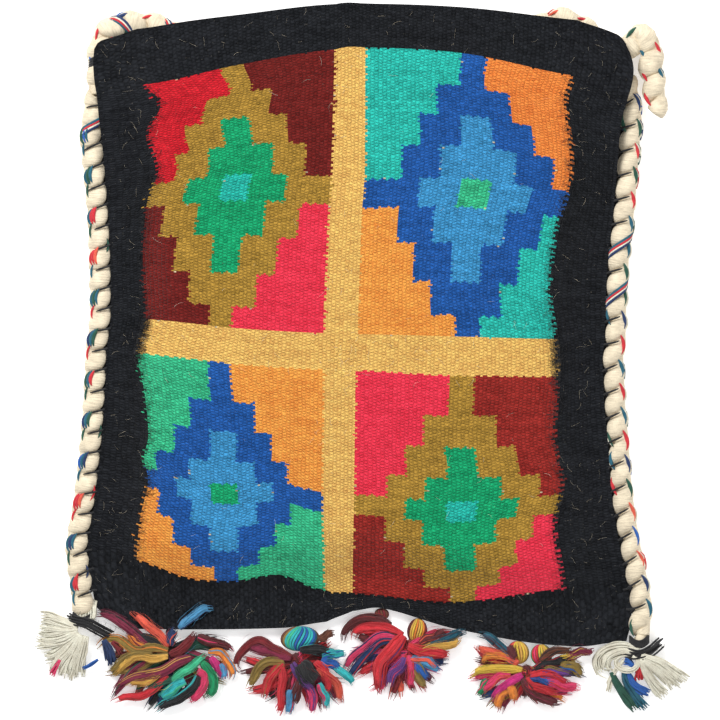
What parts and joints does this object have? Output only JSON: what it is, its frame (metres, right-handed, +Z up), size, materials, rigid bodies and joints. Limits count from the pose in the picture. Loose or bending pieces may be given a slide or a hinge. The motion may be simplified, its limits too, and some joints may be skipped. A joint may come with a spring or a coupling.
{
  "type": "shoulder bag",
  "caption": "Flat hand-woven wool shoulder bag with stepped diamonds, a twisted rope edge and strap, and yarn tassels along its base",
  "frame": {"origin": "middle of the bounding box in X and Y, on the table in Z", "axes": "+X across the bag, +Y from its base to its mouth, +Z up from the table"},
  "size_m": [0.3916, 0.4273, 0.0268],
  "materials": {
    "woven_wool": "thick weft-faced wool weave, ribbed, with fields of red, maroon, orange, turquoise, green, blue, olive and gold on black",
    "cotton_rope": "cream cotton rope of two fat strands, with fine coloured yarns in the grooves",
    "black_thread": "black wool thread, wound",
    "wool_yarn": "loose thick wool yarn in many colours",
    "wound_yarn": "yarn wound over a core"
  },
  "bodies": {
    "root": {"woven_pouch": "woven_wool", "left_edge_rope": "cotton_rope", "right_edge_rope": "cotton_rope", "shoulder_strap": "cotton_rope", "left_rope_whipping": "black_thread", "right_rope_whipping": "black_thread", "tassel_1": "wool_yarn", "tassel_2": "wool_yarn", "tassel_3": "wool_yarn", "tassel_4": "wool_yarn", "tassel_1_hanger": "wool_yarn", "turquoise_bead": "wound_yarn", "gold_bead": "wound_yarn", "brown_knob": "wound_yarn", "left_yellow_bead": "wound_yarn", "right_yellow_bead": "wound_yarn"}
  },
  "joints": []
}
